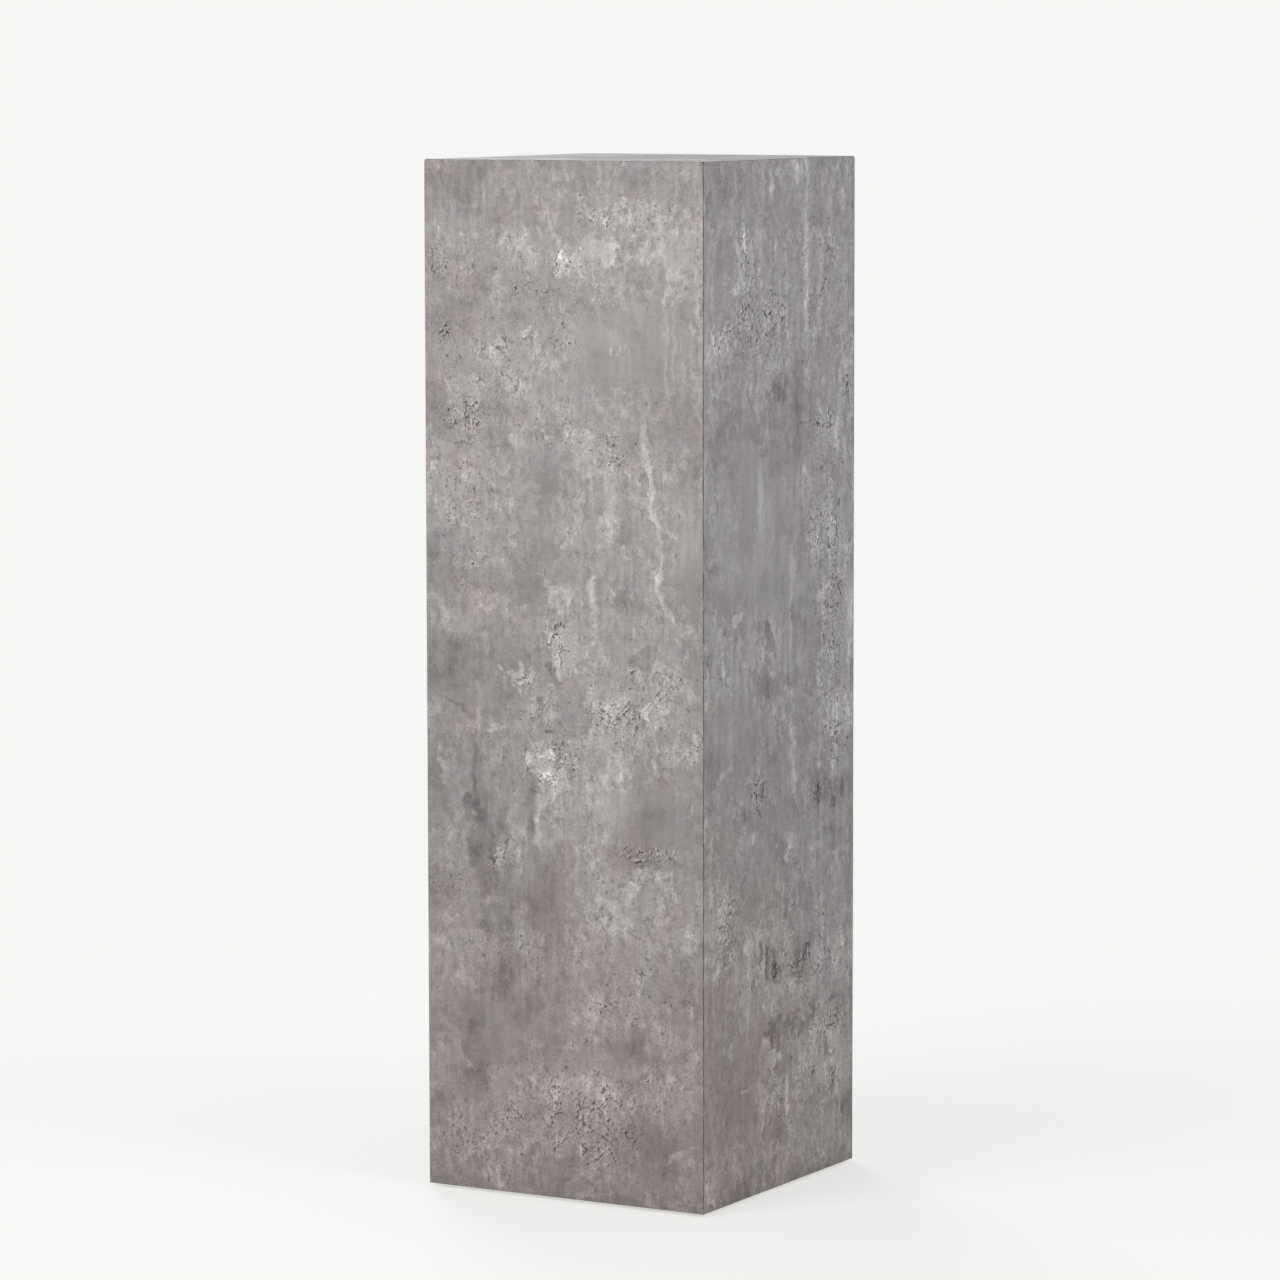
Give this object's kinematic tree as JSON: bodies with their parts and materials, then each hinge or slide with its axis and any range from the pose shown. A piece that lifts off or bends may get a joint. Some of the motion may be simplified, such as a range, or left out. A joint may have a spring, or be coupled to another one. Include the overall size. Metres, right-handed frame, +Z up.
{
  "type": "pedestal stand",
  "caption": "Tall square display pedestal: a hollow board column faced with thin concrete-look laminate, standing on nail-on glides.",
  "frame": {"origin": "middle of the footprint, on the floor under the glides", "axes": "+Z up, -Y through the front face, +X to the right as seen from the front"},
  "size_m": [0.306, 0.306, 1],
  "materials": {
    "decor_laminate": "matte",
    "carcass_board": "matte",
    "softwood": "matte",
    "beech_dowel": "matte",
    "screw_steel": "satin",
    "glide_plastic": "satin"
  },
  "bodies": {
    "root": {"front_laminate": "decor_laminate", "back_laminate": "decor_laminate", "left_laminate": "decor_laminate", "right_laminate": "decor_laminate", "top_laminate": "decor_laminate", "front_board": "carcass_board", "back_board": "carcass_board", "left_board": "carcass_board", "right_board": "carcass_board", "top_board": "carcass_board", "base_board": "carcass_board", "middle_stiffener": "carcass_board", "top_cleat_front": "softwood", "top_cleat_back": "softwood", "top_cleat_left": "softwood", "top_cleat_right": "softwood", "base_cleat_front": "softwood", "base_cleat_back": "softwood", "base_cleat_left": "softwood", "base_cleat_right": "softwood", "wall_dowels": "beech_dowel", "cleat_wall_screws": "screw_steel", "top_board_screws": "screw_steel", "base_board_screws": "screw_steel", "glide_front_left": "glide_plastic", "glide_front_right": "glide_plastic", "glide_back_left": "glide_plastic", "glide_back_right": "glide_plastic", "glide_nails": "screw_steel"}
  },
  "joints": []
}
